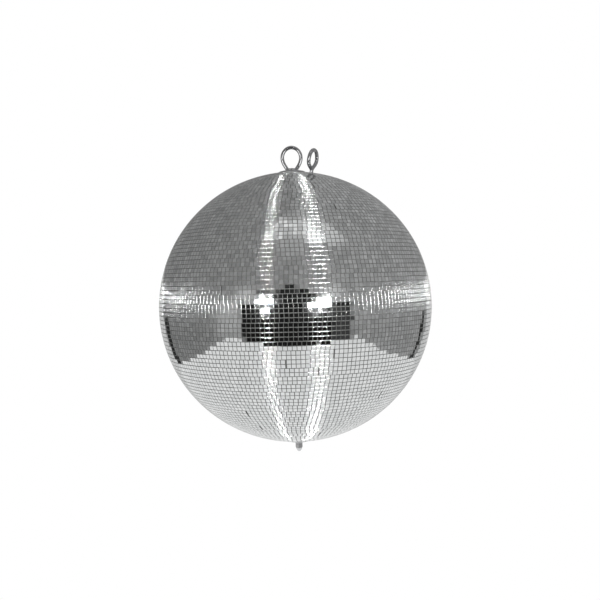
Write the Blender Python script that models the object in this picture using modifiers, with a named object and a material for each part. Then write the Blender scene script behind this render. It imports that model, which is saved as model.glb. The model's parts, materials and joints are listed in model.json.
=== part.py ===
"""A 75 cm mirror ball that turns on a through axle below its hanging eye.

Metres, +Z up. The world origin is the point inside the top of the main eye where a hook bears.
"""

import math

import bmesh
import bpy
from mathutils import Matrix, Vector

GAP = 0.0003  # between faces that touch

# Ball
BALL_RADIUS = 0.375  # over the mirror faces at the equator
POLE_RADIUS = 0.3716  # over the mirror faces towards the poles, which are slightly flat
TILE_THICKNESS = 0.002
SHELL_THICKNESS = 0.005
CROWN_RADIUS = 0.0434  # where the mirror stops around each pole
BANDS_PER_HALF = 6
FACETS_PER_BAND = 2
BALL_STEPS = 32
EQUATOR_RING_THICKNESS = 0.003
EQUATOR_RING_ANGLE = math.radians(4.0)

# Axle, its bushes and its tube
AXLE_RADIUS = 0.006
BUSH_RADIUS = 0.009
BUSH_FLANGE_RADIUS = 0.016
BUSH_FLANGE_THICKNESS = 0.002
BUSH_FLANGE_GAP = 0.0008  # the dished plate falls away from the flat flange
TUBE_BORE = 0.0075
TUBE_RADIUS = 0.011
SMALL_STEPS = 20

# Hub plates outside the shell and dished plates inside it
HUB_RADIUS = 0.040
HUB_THICKNESS = 0.005
HUB_EDGE_WIDTH = 0.007  # the disc's edge slopes down to the mirrors
HUB_EDGE_DROP = 0.0036
RECESS_RADIUS = 0.0195
RECESS_DEPTH = 0.003
INNER_PLATE_THICKNESS = 0.003
TOP_PLATE_FACETS = 2  # facets of the ball's grid that an inner plate reaches past the crown
BOTTOM_PLATE_FACETS = 1

# Countersunk screws through the hub plates
SCREWS_PER_HUB = 3
SCREW_CIRCLE = 0.028
SCREW_HEAD_RADIUS = 0.0045
SCREW_HEAD_DEPTH = 0.0025
SCREW_RADIUS = 0.0025
SCREW_LENGTH = 0.017
SCREW_STEPS = 12

# Main eye
WIRE_RADIUS = 0.005
EYE_RISE = 0.064  # from the pole up to the hook's bearing point
LOOP_HALF_WIDTH = 0.0257  # at the centre of the wire
LOOP_ARC_HEIGHT = 0.0285
LEG_HALF_WIDTH = 0.0118
LEG_RISE = 0.0075  # from the pole up to the buried ends of the legs
LEG_SIDE_HANDLE = 0.013
LEG_FOOT_HANDLE = Vector((0.007, 0.011))
COLLAR_RADIUS = 0.0172
COLLAR_FOOT_RADIUS = 0.0182
COLLAR_FOOT_RISE = 0.0056
COLLAR_FOOT_CHAMFER = 0.001
COLLAR_TOP_RISE = 0.0122
COLLAR_DOME = 0.0024
COLLAR_SHOULDER_RADIUS = 0.0086
COLLAR_SHOULDER_DROP = 0.0008
COLLAR_ROOF = 0.002
TOP_WASHER_THICKNESS = 0.0015
TOP_WASHER_RADIUS = 0.0185

# Fastenings under the ball
BOTTOM_WASHER_RADIUS = 0.012
BOTTOM_WASHER_THICKNESS = 0.0025
NUT_FLATS = 0.019
JAM_NUT_HEIGHT = 0.006
CAP_HEX_HEIGHT = 0.0095
CAP_DOME_RADIUS = 0.0085
CAP_DOME_HEIGHT = 0.012
CAP_DOME_STEPS = 4
CAP_BORE_DEPTH = 0.015

# Safety eye, which stands square to the mirror face beside the main eye
SAFETY_REACH = 0.0826  # from the axle to its foot
SAFETY_BEARING = math.radians(-50.5)
SAFETY_LOOP_TURN = math.radians(65.0)
SAFETY_SHANK_RADIUS = 0.005
SAFETY_HOLE_RADIUS = 0.006
SAFETY_SHANK_DEPTH = 0.028
SAFETY_NECK = 0.004
SAFETY_LOOP_CENTRE = 0.034
SAFETY_LOOP_HEIGHT = 0.026
SAFETY_LEG_HANDLE = 0.016
SAFETY_NECK_HANDLE = 0.010
SAFETY_LOOP_END = Vector((-0.0039, 0.0103))
SAFETY_WASHER_RADIUS = 0.0125
SAFETY_WASHER_THICKNESS = 0.0025
SAFETY_WASHER_GAP = 0.0015  # a flat washer under a dished plate
SAFETY_NUT_FLATS = 0.017
SAFETY_NUT_HEIGHT = 0.008

ARC_HANDLE = 0.5523  # handle length of a quarter circle, as a share of its radius
CURVE_RESOLUTION = 6
WIRE_BEVEL_RESOLUTION = 4
CUTTER_REACH = 0.03

BALL_CENTRE = Vector((0.0, 0.0, -(POLE_RADIUS + EYE_RISE)))
SHELL_DEPTH = TILE_THICKNESS + GAP
SHELL_INNER_DEPTH = SHELL_DEPTH + SHELL_THICKNESS
PLATE_DEPTH = SHELL_INNER_DEPTH + GAP
PLATE_INNER_DEPTH = PLATE_DEPTH + INNER_PLATE_THICKNESS
BUSH_BORE = AXLE_RADIUS + GAP
BUSH_HOLE = BUSH_RADIUS + GAP
HUB_FACE = POLE_RADIUS - TILE_THICKNESS + HUB_THICKNESS
HUB_BACK = HUB_FACE - HUB_THICKNESS
FLANGE_TOP = POLE_RADIUS - PLATE_INNER_DEPTH - BUSH_FLANGE_GAP
TOP_WASHER_TOP = HUB_FACE - RECESS_DEPTH + GAP + TOP_WASHER_THICKNESS
BOTTOM_WASHER_TOP = HUB_FACE + GAP  # below the centre, as are the next two
JAM_NUT_TOP = BOTTOM_WASHER_TOP + BOTTOM_WASHER_THICKNESS + GAP
CAP_NUT_TOP = JAM_NUT_TOP + JAM_NUT_HEIGHT + GAP
CROWN_ANGLE = math.acos(CROWN_RADIUS / BALL_RADIUS)
FACETS_PER_HALF = BANDS_PER_HALF * FACETS_PER_BAND
FACET_ANGLE = CROWN_ANGLE / FACETS_PER_HALF


def clear_scene():
    for old in list(bpy.data.objects):
        bpy.data.objects.remove(old, do_unlink=True)


def new_collection(name):
    collection = bpy.data.collections.new(name)
    bpy.context.scene.collection.children.link(collection)
    return collection


def new_material(name, colour, metallic, roughness):
    material = bpy.data.materials.new(name)
    material.use_nodes = True
    shader = material.node_tree.nodes["Principled BSDF"]
    shader.inputs["Base Color"].default_value = (*colour, 1.0)
    shader.inputs["Metallic"].default_value = metallic
    shader.inputs["Roughness"].default_value = roughness
    material.diffuse_color = (*colour, 1.0)
    return material


def place(name, data, look, parent):
    """Put mesh or curve data in the parts collection, on its parent."""
    piece = bpy.data.objects.new(name, data)
    parts.objects.link(piece)
    own = looks[look].copy()
    own.name = f"{name}_{look}"
    data.materials.append(own)
    piece.parent = parent
    return piece


def new_pivot(name, matrix, parent=None):
    pivot = bpy.data.objects.new(name, None)
    parts.objects.link(pivot)
    pivot.parent = parent
    pivot.matrix_local = matrix
    return pivot


def outline_mesh(name, outline, closed):
    mesh = bpy.data.meshes.new(name)
    count = len(outline)
    edges = [(i, i + 1) for i in range(count - 1)]
    if closed:
        edges.append((count - 1, 0))
    mesh.from_pydata([(radius, 0.0, height) for radius, height in outline], edges, [])
    return mesh


def add_screw(piece, steps):
    screw = piece.modifiers.new("Turn", "SCREW")
    screw.axis = "Z"
    screw.angle = math.tau
    screw.steps = steps
    screw.render_steps = steps
    screw.use_merge_vertices = True
    screw.merge_threshold = GAP / 10
    screw.use_smooth_shade = True


def turned(name, outline, look, parent, steps=SMALL_STEPS, closed=True):
    """Turn (radius, height) points, which run down the outer side, about the parent's Z axis."""
    piece = place(name, outline_mesh(name, outline, closed), look, parent)
    add_screw(piece, steps)
    return piece


def flipped(outline):
    """The same outline below the equator, still running down its outer side."""
    return [(radius, -height) for radius, height in reversed(outline)]


def add_boolean(piece, tool, operation="DIFFERENCE"):
    boolean = piece.modifiers.new(f"{operation.title()} {tool.name}", "BOOLEAN")
    boolean.object = tool
    boolean.operation = operation


def as_tool(piece):
    """Move a piece to the cutters collection."""
    parts.objects.unlink(piece)
    cutters.objects.link(piece)
    piece.hide_render = True
    piece.display_type = "WIRE"
    return piece


def prism_mesh(name, radius, top, height, sides):
    """An upright prism or cylinder whose upper face is at top."""
    mesh = bpy.data.meshes.new(name)
    shape = bmesh.new()
    bmesh.ops.create_cone(
        shape, cap_ends=True, segments=sides, radius1=radius, radius2=radius, depth=height
    )
    bmesh.ops.translate(shape, verts=shape.verts, vec=(0.0, 0.0, top - height / 2))
    shape.to_mesh(mesh)
    shape.free()
    return mesh


def new_drill(name, radius, top, height, parent, sides=SMALL_STEPS):
    return as_tool(place(name, prism_mesh(name, radius, top, height, sides), "steel", parent))


def ball_point(angle, depth):
    """Radius and height of a point this far below the mirror face."""
    return (
        (BALL_RADIUS - depth) * math.cos(angle),
        (POLE_RADIUS - depth) * math.sin(angle),
    )


def grid_angles(first, last):
    """Angles above the equator of the ball's facet edges, from first to last."""
    return [FACET_ANGLE * i for i in range(first, last + 1)]


def bore_angle(depth, radius):
    return math.acos(radius / (BALL_RADIUS - depth))


def skin_outline(angles_outer, angles_inner, outer_depth, inner_depth):
    """Outline of a curved wall: both lists of angles rise towards the pole."""
    outer = [ball_point(angle, outer_depth) for angle in reversed(angles_outer)]
    inner = [ball_point(angle, inner_depth) for angle in angles_inner]
    return outer + inner


def add_mirror_band(half, number):
    """One ring of mirror, a few rows of tiles high; band 1 is at the equator."""
    first = (number - 1) * FACETS_PER_BAND
    angles = grid_angles(first, first + FACETS_PER_BAND)
    slit = GAP / 2 / BALL_RADIUS
    angles[0] += slit
    angles[-1] -= slit
    outline = skin_outline(angles, angles, 0.0, TILE_THICKNESS)
    if half == "lower":
        outline = flipped(outline)
    return turned(f"mirror_band_{half}_{number}", outline, "mirror", ball, BALL_STEPS)


def add_shell(half):
    slit = GAP / 2 / BALL_RADIUS
    angles = grid_angles(0, FACETS_PER_HALF)
    angles[0] += slit
    outer = angles + [bore_angle(SHELL_DEPTH, BUSH_HOLE)]
    inner = angles + [bore_angle(SHELL_INNER_DEPTH, BUSH_HOLE)]
    outline = skin_outline(outer, inner, SHELL_DEPTH, SHELL_INNER_DEPTH)
    if half == "lower":
        outline = flipped(outline)
    return turned(f"{half}_shell", outline, "shell", ball, BALL_STEPS)


def add_equator_ring():
    """The lap ring that joins the two halves from the inside."""
    depth = SHELL_INNER_DEPTH + GAP
    sag = BALL_RADIUS * (1 - math.cos(FACET_ANGLE / 2))
    angles = [-EQUATOR_RING_ANGLE, 0.0, EQUATOR_RING_ANGLE]
    outline = skin_outline(angles, angles, depth + sag, depth + sag + EQUATOR_RING_THICKNESS)
    return turned("equator_ring", outline, "shell", ball, BALL_STEPS)


def add_inner_plate(name, facets, half):
    """A dished plate against the inside of the shell at a pole."""
    angles = grid_angles(FACETS_PER_HALF - facets, FACETS_PER_HALF)
    outer = angles + [bore_angle(PLATE_DEPTH, BUSH_HOLE)]
    inner = angles + [bore_angle(PLATE_INNER_DEPTH, BUSH_HOLE)]
    outline = skin_outline(outer, inner, PLATE_DEPTH, PLATE_INNER_DEPTH)
    if half == "lower":
        outline = flipped(outline)
    return turned(name, outline, "steel", ball, BALL_STEPS)


def add_top_hub_plate():
    """The outer disc at the top, recessed for the washer under the main eye."""
    recess_floor = HUB_FACE - RECESS_DEPTH
    outline = [
        (RECESS_RADIUS, HUB_FACE),
        (HUB_RADIUS - HUB_EDGE_WIDTH, HUB_FACE),
        (HUB_RADIUS, HUB_FACE - HUB_EDGE_DROP),
        (HUB_RADIUS, HUB_BACK),
        (BUSH_HOLE, HUB_BACK),
        (BUSH_HOLE, recess_floor),
        (RECESS_RADIUS, recess_floor),
    ]
    return turned("top_hub_plate", outline, "steel", ball, BALL_STEPS)


def add_bottom_hub_plate():
    outline = flipped([
        (BUSH_HOLE, HUB_FACE),
        (HUB_RADIUS - HUB_EDGE_WIDTH, HUB_FACE),
        (HUB_RADIUS, HUB_FACE - HUB_EDGE_DROP),
        (HUB_RADIUS, HUB_BACK),
        (BUSH_HOLE, HUB_BACK),
    ])
    return turned("bottom_hub_plate", outline, "steel", ball, BALL_STEPS)


def bush_outline(end):
    """A flanged sleeve from this height down to its flange inside the ball."""
    return [
        (BUSH_BORE, end),
        (BUSH_RADIUS, end),
        (BUSH_RADIUS, FLANGE_TOP),
        (BUSH_FLANGE_RADIUS, FLANGE_TOP),
        (BUSH_FLANGE_RADIUS, FLANGE_TOP - BUSH_FLANGE_THICKNESS),
        (BUSH_BORE, FLANGE_TOP - BUSH_FLANGE_THICKNESS),
    ]


def washer_outline(bore, radius, top, thickness):
    return [(bore, top), (radius, top), (radius, top - thickness), (bore, top - thickness)]


def add_washer(name, radius, top, thickness):
    """A flat washer on the axle."""
    turned(name, washer_outline(BUSH_BORE, radius, top, thickness), "zinc", axle)


def add_axle_tube():
    end = FLANGE_TOP - BUSH_FLANGE_THICKNESS - GAP
    outline = [(TUBE_BORE, end), (TUBE_RADIUS, end), (TUBE_RADIUS, -end), (TUBE_BORE, -end)]
    return turned("axle_tube", outline, "steel", ball)


def screw_outline(face, grow=0.0):
    """A countersunk screw whose head is level with face; a cutter's is larger by grow."""
    return [
        (0.0, face + grow),
        (SCREW_HEAD_RADIUS + grow, face + grow),
        (SCREW_HEAD_RADIUS + grow, face - GAP),
        (SCREW_RADIUS + grow, face - SCREW_HEAD_DEPTH),
        (SCREW_RADIUS + grow, face - SCREW_LENGTH - grow),
        (0.0, face - SCREW_LENGTH - grow),
    ]


def add_hub_screws(half, drilled):
    """Screws through a hub plate, the shell and the inner plate, each in its own hole."""
    for number in range(1, SCREWS_PER_HUB + 1):
        bearing = math.tau * number / SCREWS_PER_HUB + math.pi / 2
        seat = Matrix.Rotation(bearing, 4, "Z") @ Matrix.Translation((SCREW_CIRCLE, 0.0, 0.0))
        outline = screw_outline(HUB_FACE)
        hole = screw_outline(HUB_FACE, GAP)
        if half == "lower":
            outline = flipped(outline)
            hole = flipped(hole)
        name = f"{half}_hub_screw_{number}"
        screw = turned(name, outline, "zinc", ball, SCREW_STEPS, closed=False)
        screw.matrix_local = seat
        drill = as_tool(turned(f"{name}_hole", hole, "steel", ball, SCREW_STEPS, closed=False))
        drill.matrix_local = seat
        for piece in drilled:
            add_boolean(piece, drill)


def wire_curve(name, knots, look, parent):
    """A round wire along a Bezier curve: each knot is (handle in, centre, handle out) as (x, z)."""
    curve = bpy.data.curves.new(name, "CURVE")
    curve.dimensions = "3D"
    curve.resolution_u = CURVE_RESOLUTION
    curve.render_resolution_u = CURVE_RESOLUTION
    curve.bevel_depth = WIRE_RADIUS
    curve.bevel_resolution = WIRE_BEVEL_RESOLUTION
    curve.use_fill_caps = True
    spline = curve.splines.new("BEZIER")
    spline.bezier_points.add(len(knots) - 1)
    for point, (before, centre, after) in zip(spline.bezier_points, knots, strict=True):
        point.handle_left_type = "FREE"
        point.handle_right_type = "FREE"
        point.co = (centre[0], 0.0, centre[1])
        point.handle_left = (before[0], 0.0, before[1])
        point.handle_right = (after[0], 0.0, after[1])
    return place(name, curve, look, parent)


def meshed(piece):
    """Turn a curve object into a mesh object with welded caps, in the same place."""
    bpy.context.view_layer.update()
    evaluated = piece.evaluated_get(bpy.context.evaluated_depsgraph_get())
    mesh = bpy.data.meshes.new_from_object(evaluated)
    shape = bmesh.new()
    shape.from_mesh(mesh)
    bmesh.ops.remove_doubles(shape, verts=shape.verts, dist=GAP / 10)
    bmesh.ops.recalc_face_normals(shape, faces=shape.faces)
    shape.to_mesh(mesh)
    shape.free()
    mesh.shade_smooth()
    name, matrix, parent = piece.name, piece.matrix_world.copy(), piece.parent
    bpy.data.objects.remove(piece, do_unlink=True)
    fresh = bpy.data.objects.new(name, mesh)
    parts.objects.link(fresh)
    fresh.parent = parent
    fresh.matrix_world = matrix
    return fresh


def add_main_eye():
    """A loop of bar whose legs end in a domed collar that is bored for the axle."""
    crest = WIRE_RADIUS
    side = crest - LOOP_ARC_HEIGHT
    foot = LEG_RISE - EYE_RISE
    reach = ARC_HANDLE * LOOP_HALF_WIDTH
    rise = ARC_HANDLE * LOOP_ARC_HEIGHT
    above_foot = (LEG_HALF_WIDTH + LEG_FOOT_HANDLE.x, foot + LEG_FOOT_HANDLE.y)
    right = [
        ((LEG_HALF_WIDTH, foot), (LEG_HALF_WIDTH, foot), above_foot),
        (
            (LOOP_HALF_WIDTH, side - LEG_SIDE_HANDLE),
            (LOOP_HALF_WIDTH, side),
            (LOOP_HALF_WIDTH, side + rise),
        ),
    ]
    top = [((reach, crest), (0.0, crest), (-reach, crest))]
    left = [tuple((-x, z) for x, z in reversed(knot)) for knot in reversed(right)]
    eye = meshed(wire_curve("main_eye", right + top + left, "chrome", hanger))
    add_boolean(eye, add_collar(), "UNION")


def add_collar():
    top = COLLAR_TOP_RISE - EYE_RISE
    base = TOP_WASHER_TOP + GAP - POLE_RADIUS - EYE_RISE
    foot_top = COLLAR_FOOT_RISE - EYE_RISE
    roof = top - COLLAR_ROOF
    outline = [
        (0.0, top),
        (COLLAR_SHOULDER_RADIUS, top - COLLAR_SHOULDER_DROP),
        (COLLAR_RADIUS, top - COLLAR_DOME),
        (COLLAR_RADIUS, foot_top + COLLAR_FOOT_CHAMFER),
        (COLLAR_FOOT_RADIUS, foot_top),
        (COLLAR_FOOT_RADIUS, base),
        (BUSH_BORE, base),
        (BUSH_BORE, roof),
        (0.0, roof),
    ]
    return as_tool(turned("main_eye_collar", outline, "steel", hanger, BALL_STEPS, closed=False))


def add_axle():
    top = POLE_RADIUS + COLLAR_TOP_RISE - COLLAR_ROOF - GAP
    bottom = GAP - CAP_NUT_TOP - CAP_BORE_DEPTH
    outline = [(0.0, top), (AXLE_RADIUS, top), (AXLE_RADIUS, bottom), (0.0, bottom)]
    turned("axle_rod", outline, "zinc", axle, closed=False)


def add_hex_nut(name, flats, top, height, bore, parent):
    nut = place(name, prism_mesh(name, flats / math.sqrt(3), top, height, 6), "zinc", parent)
    drill = new_drill(f"{name}_bore", bore, top + height, 3 * height, parent)
    add_boolean(nut, drill)


def add_cap_nut():
    """A hexagon with a dome below it, bored from above."""
    name = "bottom_cap_nut"
    top = -CAP_NUT_TOP
    mesh = prism_mesh(name, NUT_FLATS / math.sqrt(3), top, CAP_HEX_HEIGHT, 6)
    nut = place(name, mesh, "chrome", axle)
    rim = top - CAP_HEX_HEIGHT
    straight = CAP_DOME_HEIGHT - CAP_DOME_RADIUS
    outline = [(0.0, rim + straight), (CAP_DOME_RADIUS, rim + straight)]
    for step in range(CAP_DOME_STEPS):
        turn = math.pi / 2 * step / CAP_DOME_STEPS
        drop = straight + CAP_DOME_RADIUS * math.sin(turn)
        outline.append((CAP_DOME_RADIUS * math.cos(turn), rim - drop))
    outline.append((0.0, rim - CAP_DOME_HEIGHT))
    dome = as_tool(turned(f"{name}_dome", outline, "steel", axle, closed=False))
    add_boolean(nut, dome, "UNION")
    drill = new_drill(f"{name}_bore", BUSH_BORE, top + CAP_BORE_DEPTH, 2 * CAP_BORE_DEPTH, axle)
    add_boolean(nut, drill)


def safety_matrix():
    """Where the safety eye stands: Z square to the mirror face, X along its loop."""
    angle = math.acos(SAFETY_REACH / BALL_RADIUS)
    radius, height = ball_point(angle, 0.0)
    lean = math.atan2(math.cos(angle) / BALL_RADIUS, math.sin(angle) / POLE_RADIUS)
    around = Matrix.Rotation(SAFETY_BEARING, 4, "Z")
    out = Matrix.Translation((radius, 0.0, height)) @ Matrix.Rotation(lean, 4, "Y")
    turn = Matrix.Rotation(SAFETY_LOOP_TURN - SAFETY_BEARING, 4, "Z")
    return around @ out @ turn


def add_safety_eye():
    """A bar bent round into an eye, with its cut end stopping short of the shank."""
    wide = LOOP_HALF_WIDTH
    side = SAFETY_LOOP_CENTRE
    crest = side + SAFETY_LOOP_HEIGHT
    reach = ARC_HANDLE * wide
    rise = ARC_HANDLE * SAFETY_LOOP_HEIGHT
    deep = -SAFETY_SHANK_DEPTH
    low = side - SAFETY_LEG_HANDLE
    end = SAFETY_LOOP_END
    knots = [
        ((0.0, deep), (0.0, deep), (0.0, deep / 2)),
        ((0.0, 0.0), (0.0, SAFETY_NECK), (0.0, SAFETY_NECK + SAFETY_NECK_HANDLE)),
        ((wide, low), (wide, side), (wide, side + rise)),
        ((reach, crest), (0.0, crest), (-reach, crest)),
        ((-wide, side + rise), (-wide, side), (-wide, low)),
        ((end.x - WIRE_RADIUS, end.y + WIRE_RADIUS), tuple(end), tuple(end)),
    ]
    meshed(wire_curve("safety_eye", knots, "chrome", safety))


def add_safety_fastenings():
    bore = SAFETY_SHANK_RADIUS + GAP
    top = -(PLATE_INNER_DEPTH + SAFETY_WASHER_GAP)
    nut_top = top - SAFETY_WASHER_THICKNESS - GAP
    outline = washer_outline(bore, SAFETY_WASHER_RADIUS, top, SAFETY_WASHER_THICKNESS)
    turned("safety_eye_washer", outline, "zinc", safety)
    add_hex_nut("safety_eye_nut", SAFETY_NUT_FLATS, nut_top, SAFETY_NUT_HEIGHT, bore, safety)


clear_scene()
parts = new_collection("mirror_ball")
cutters = new_collection("cutters")
looks = {
    "mirror": new_material("mirror", (0.9, 0.9, 0.92), 1.0, 0.05),
    "shell": new_material("shell", (0.55, 0.55, 0.54), 0.0, 0.6),
    "steel": new_material("steel", (0.5, 0.5, 0.52), 1.0, 0.35),
    "zinc": new_material("zinc", (0.62, 0.62, 0.63), 1.0, 0.3),
    "chrome": new_material("chrome", (0.75, 0.75, 0.76), 1.0, 0.15),
    "nylon": new_material("nylon", (0.82, 0.8, 0.74), 0.0, 0.45),
}

hanger = new_pivot("hanger", Matrix.Identity(4))
axle = new_pivot("axle_line", Matrix.Translation(BALL_CENTRE), hanger)
ball = new_pivot("ball_pivot", Matrix.Translation(BALL_CENTRE))
safety = new_pivot("safety_pivot", safety_matrix(), ball)

# What hangs still: the main eye, the axle and the fastenings on it
add_main_eye()
add_axle()
add_washer("top_washer", TOP_WASHER_RADIUS, TOP_WASHER_TOP, TOP_WASHER_THICKNESS)
add_washer("bottom_washer", BOTTOM_WASHER_RADIUS, -BOTTOM_WASHER_TOP, BOTTOM_WASHER_THICKNESS)
add_hex_nut("bottom_jam_nut", NUT_FLATS, -JAM_NUT_TOP, JAM_NUT_HEIGHT, BUSH_BORE, axle)
add_cap_nut()

# What turns: the shell, its mirror, its hubs and its tube
shells = {half: add_shell(half) for half in ("upper", "lower")}
bands = {
    (half, number): add_mirror_band(half, number)
    for half in ("upper", "lower")
    for number in range(1, BANDS_PER_HALF + 1)
}
add_equator_ring()
top_plate = add_inner_plate("top_inner_plate", TOP_PLATE_FACETS, "upper")
bottom_plate = add_inner_plate("bottom_inner_plate", BOTTOM_PLATE_FACETS, "lower")
add_hub_screws("upper", (add_top_hub_plate(), shells["upper"], top_plate))
add_hub_screws("lower", (add_bottom_hub_plate(), shells["lower"], bottom_plate))
turned("top_bush", bush_outline(HUB_FACE - RECESS_DEPTH), "nylon", ball)
turned("bottom_bush", flipped(bush_outline(HUB_FACE)), "nylon", ball)
add_axle_tube()

# The safety eye, its fastenings and the hole that it turns in
add_safety_eye()
add_safety_fastenings()
safety_hole = new_drill(
    "safety_hole", SAFETY_HOLE_RADIUS, CUTTER_REACH / 2, 1.5 * CUTTER_REACH, safety
)
for pierced in (bands["upper", BANDS_PER_HALF], shells["upper"], top_plate):
    add_boolean(pierced, safety_hole)
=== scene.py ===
"""A 75 cm mirror ball in a plain white studio.

About 13,600 glass mirrors, their adhesive beds, and the hardware it hangs by, in metres.
"""

import json
import math
import random

import bmesh
import bpy
import numpy as np
from mathutils import Matrix, Vector

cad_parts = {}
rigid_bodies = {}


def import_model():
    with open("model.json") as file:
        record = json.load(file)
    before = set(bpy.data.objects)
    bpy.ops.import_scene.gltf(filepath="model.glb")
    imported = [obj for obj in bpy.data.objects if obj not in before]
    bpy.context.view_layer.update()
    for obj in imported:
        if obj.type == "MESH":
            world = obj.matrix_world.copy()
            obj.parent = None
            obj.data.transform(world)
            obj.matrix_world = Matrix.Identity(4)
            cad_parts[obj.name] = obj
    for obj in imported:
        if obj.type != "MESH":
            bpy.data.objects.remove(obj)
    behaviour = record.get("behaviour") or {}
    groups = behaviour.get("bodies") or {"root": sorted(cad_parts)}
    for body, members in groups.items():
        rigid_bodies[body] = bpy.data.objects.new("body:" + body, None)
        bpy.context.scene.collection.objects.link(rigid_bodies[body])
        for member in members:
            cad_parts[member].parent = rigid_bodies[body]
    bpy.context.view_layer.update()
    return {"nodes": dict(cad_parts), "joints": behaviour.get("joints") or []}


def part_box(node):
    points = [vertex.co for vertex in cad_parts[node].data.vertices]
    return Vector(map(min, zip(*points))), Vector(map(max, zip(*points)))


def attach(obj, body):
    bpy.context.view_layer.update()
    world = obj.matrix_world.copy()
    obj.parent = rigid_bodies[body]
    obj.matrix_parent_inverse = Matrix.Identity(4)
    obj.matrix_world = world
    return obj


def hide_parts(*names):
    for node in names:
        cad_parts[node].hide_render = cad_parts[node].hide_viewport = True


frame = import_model()

spin = next(joint for joint in frame["joints"] if joint["name"] == "ball_spin")
swivel = next(joint for joint in frame["joints"] if joint["name"] == "safety_eye_swivel")
CENTRE = Vector(spin["pos_m"])
UP = Vector((0.0, 0.0, 1.0))

# Ball, from the CAD model's mirror bands
CROWN_RADIUS = 0.0434  # where the mirror stops around each pole
BALL_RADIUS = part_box("mirror_band_upper_1")[1].x
CROWN_ANGLE = math.acos(CROWN_RADIUS / BALL_RADIUS)
POLE_RADIUS = (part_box("mirror_band_upper_6")[1].z - CENTRE.z) / math.sin(CROWN_ANGLE)

# Mirrors
BANDS = 6
ROWS_PER_BAND = 8
ROWS_PER_STRIP = 2
ROW_ANGLE = CROWN_ANGLE / (BANDS * ROWS_PER_BAND)
TILE_SIZE = 0.0102
TILE_THICKNESS = 0.0016
ROW_CHAMFER = 0.00042  # along the rows
CROSS_CHAMFER = 0.00026  # between neighbours of a row
ROW_LEAN = math.radians(9.0)  # where each chamfer's rounding starts, off the mirror face
CROSS_LEAN = math.radians(22.0)
TILE_SINK = 0.00022  # keeps a tilted tile's corners inside the ball
JOINT = 0.0011
SEAM_RANGE = (0.0014, 0.0030)  # a strip's end slit, over its ordinary joint
SINGLE_ROW_ANGLE = math.radians(70.0)  # above this each row is its own strip
TILT_SPREAD = math.radians(0.35)
STRIP_TILT_SPREAD = math.radians(0.30)
TURN_SPREAD = math.radians(0.5)
SLIP_SPREAD = 0.00008
SIZE_SPREAD = 0.008
MIRROR_FACE, MIRROR_EDGE, MIRROR_WALL = range(3)  # material slots

# Adhesive beds
BED_DEPTH = 0.0010
BED_BASE_DEPTH = 0.0021
BED_SLIT = 0.0003

# Camera
VIEW_ELEVATION = math.radians(1.8)
VIEW_DISTANCE = 2.25
VIEW_ROLL = math.radians(-1.5)
VIEW_AIM = (0.0131, 0.0178)  # right and up of the ball's centre
VIEW_LENS = 48.45

chance = random.Random(75)


def direction(azimuth, elevation):
    """Unit vector: azimuth 0 is towards the camera's side, positive to its right."""
    flat = math.cos(elevation)
    return Vector((flat * math.sin(azimuth), -flat * math.cos(azimuth), math.sin(elevation)))


def link(name, data):
    made = bpy.data.objects.new(name, data)
    bpy.context.scene.collection.objects.link(made)
    return made


def make_camera():
    camera = link("camera", bpy.data.cameras.new("camera"))
    camera.data.lens = VIEW_LENS
    back = direction(0.0, VIEW_ELEVATION)
    right = UP.cross(back).normalized()
    above = back.cross(right)
    aim = CENTRE + right * VIEW_AIM[0] + above * VIEW_AIM[1]
    roll = Matrix.Rotation(VIEW_ROLL, 4, "Z")
    face = back.to_track_quat("Z", "Y").to_matrix().to_4x4()
    camera.matrix_world = Matrix.Translation(aim + back * VIEW_DISTANCE) @ face @ roll
    bpy.context.scene.camera = camera


# Materials

MIX_FIRST, MIX_SECOND, MIX_COLOUR = 6, 7, 2  # a colour mix's sockets
CROSS_EDGE_COLOUR = (0.27, 0.28, 0.28)
WORN_EDGE_COLOUR = (0.9, 0.9, 0.9)


def new_material(name):
    """A node material; returns it, its Principled shader and a function that adds nodes."""
    material = bpy.data.materials.new(name)
    material.use_nodes = True
    tree = material.node_tree
    shader = tree.nodes["Principled BSDF"]

    def add(kind, inputs=(), **settings):
        return add_node(tree, kind, inputs, **settings)

    return material, shader, add


def add_node(tree, kind, inputs=(), **settings):
    """Add a node; inputs pairs each input's name with a value or another node's socket."""
    node = tree.nodes.new(kind)
    for key, value in settings.items():
        setattr(node, key, value)
    for key, value in inputs:
        if isinstance(value, bpy.types.NodeSocket):
            tree.links.new(value, node.inputs[key])
        else:
            node.inputs[key].default_value = value
    return node


def wire_up(material, shader, **sockets):
    for name, socket in sockets.items():
        material.node_tree.links.new(socket, shader.inputs[name.replace("_", " ")])


def spread(add, source, low, high):
    """Map a 0 to 1 value onto low to high."""
    inputs = [("Value", source), ("To Min", low), ("To Max", high)]
    return add("ShaderNodeMapRange", inputs).outputs["Result"]


def tint(add, source, dark, light):
    """Mix between two colours, or colour sockets, by a 0 to 1 value."""
    node = add("ShaderNodeMix", data_type="RGBA")
    for socket, value in ((0, source), (MIX_FIRST, dark), (MIX_SECOND, light)):
        if isinstance(value, bpy.types.NodeSocket):
            node.id_data.links.new(value, node.inputs[socket])
        else:
            node.inputs[socket].default_value = (*value, 1.0)
    return node.outputs[MIX_COLOUR]


def noise(add, scale, detail=3.0, stretch=(1.0, 1.0, 1.0), rough=0.5):
    """Noise on the object's own metres; scale is features per metre."""
    place = add("ShaderNodeTexCoord").outputs["Object"]
    if stretch != (1.0, 1.0, 1.0):
        place = add("ShaderNodeMapping", [("Vector", place), ("Scale", stretch)]).outputs[0]
    inputs = [("Vector", place), ("Scale", scale), ("Detail", detail), ("Roughness", rough)]
    return add("ShaderNodeTexNoise", inputs).outputs["Fac"]


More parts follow.
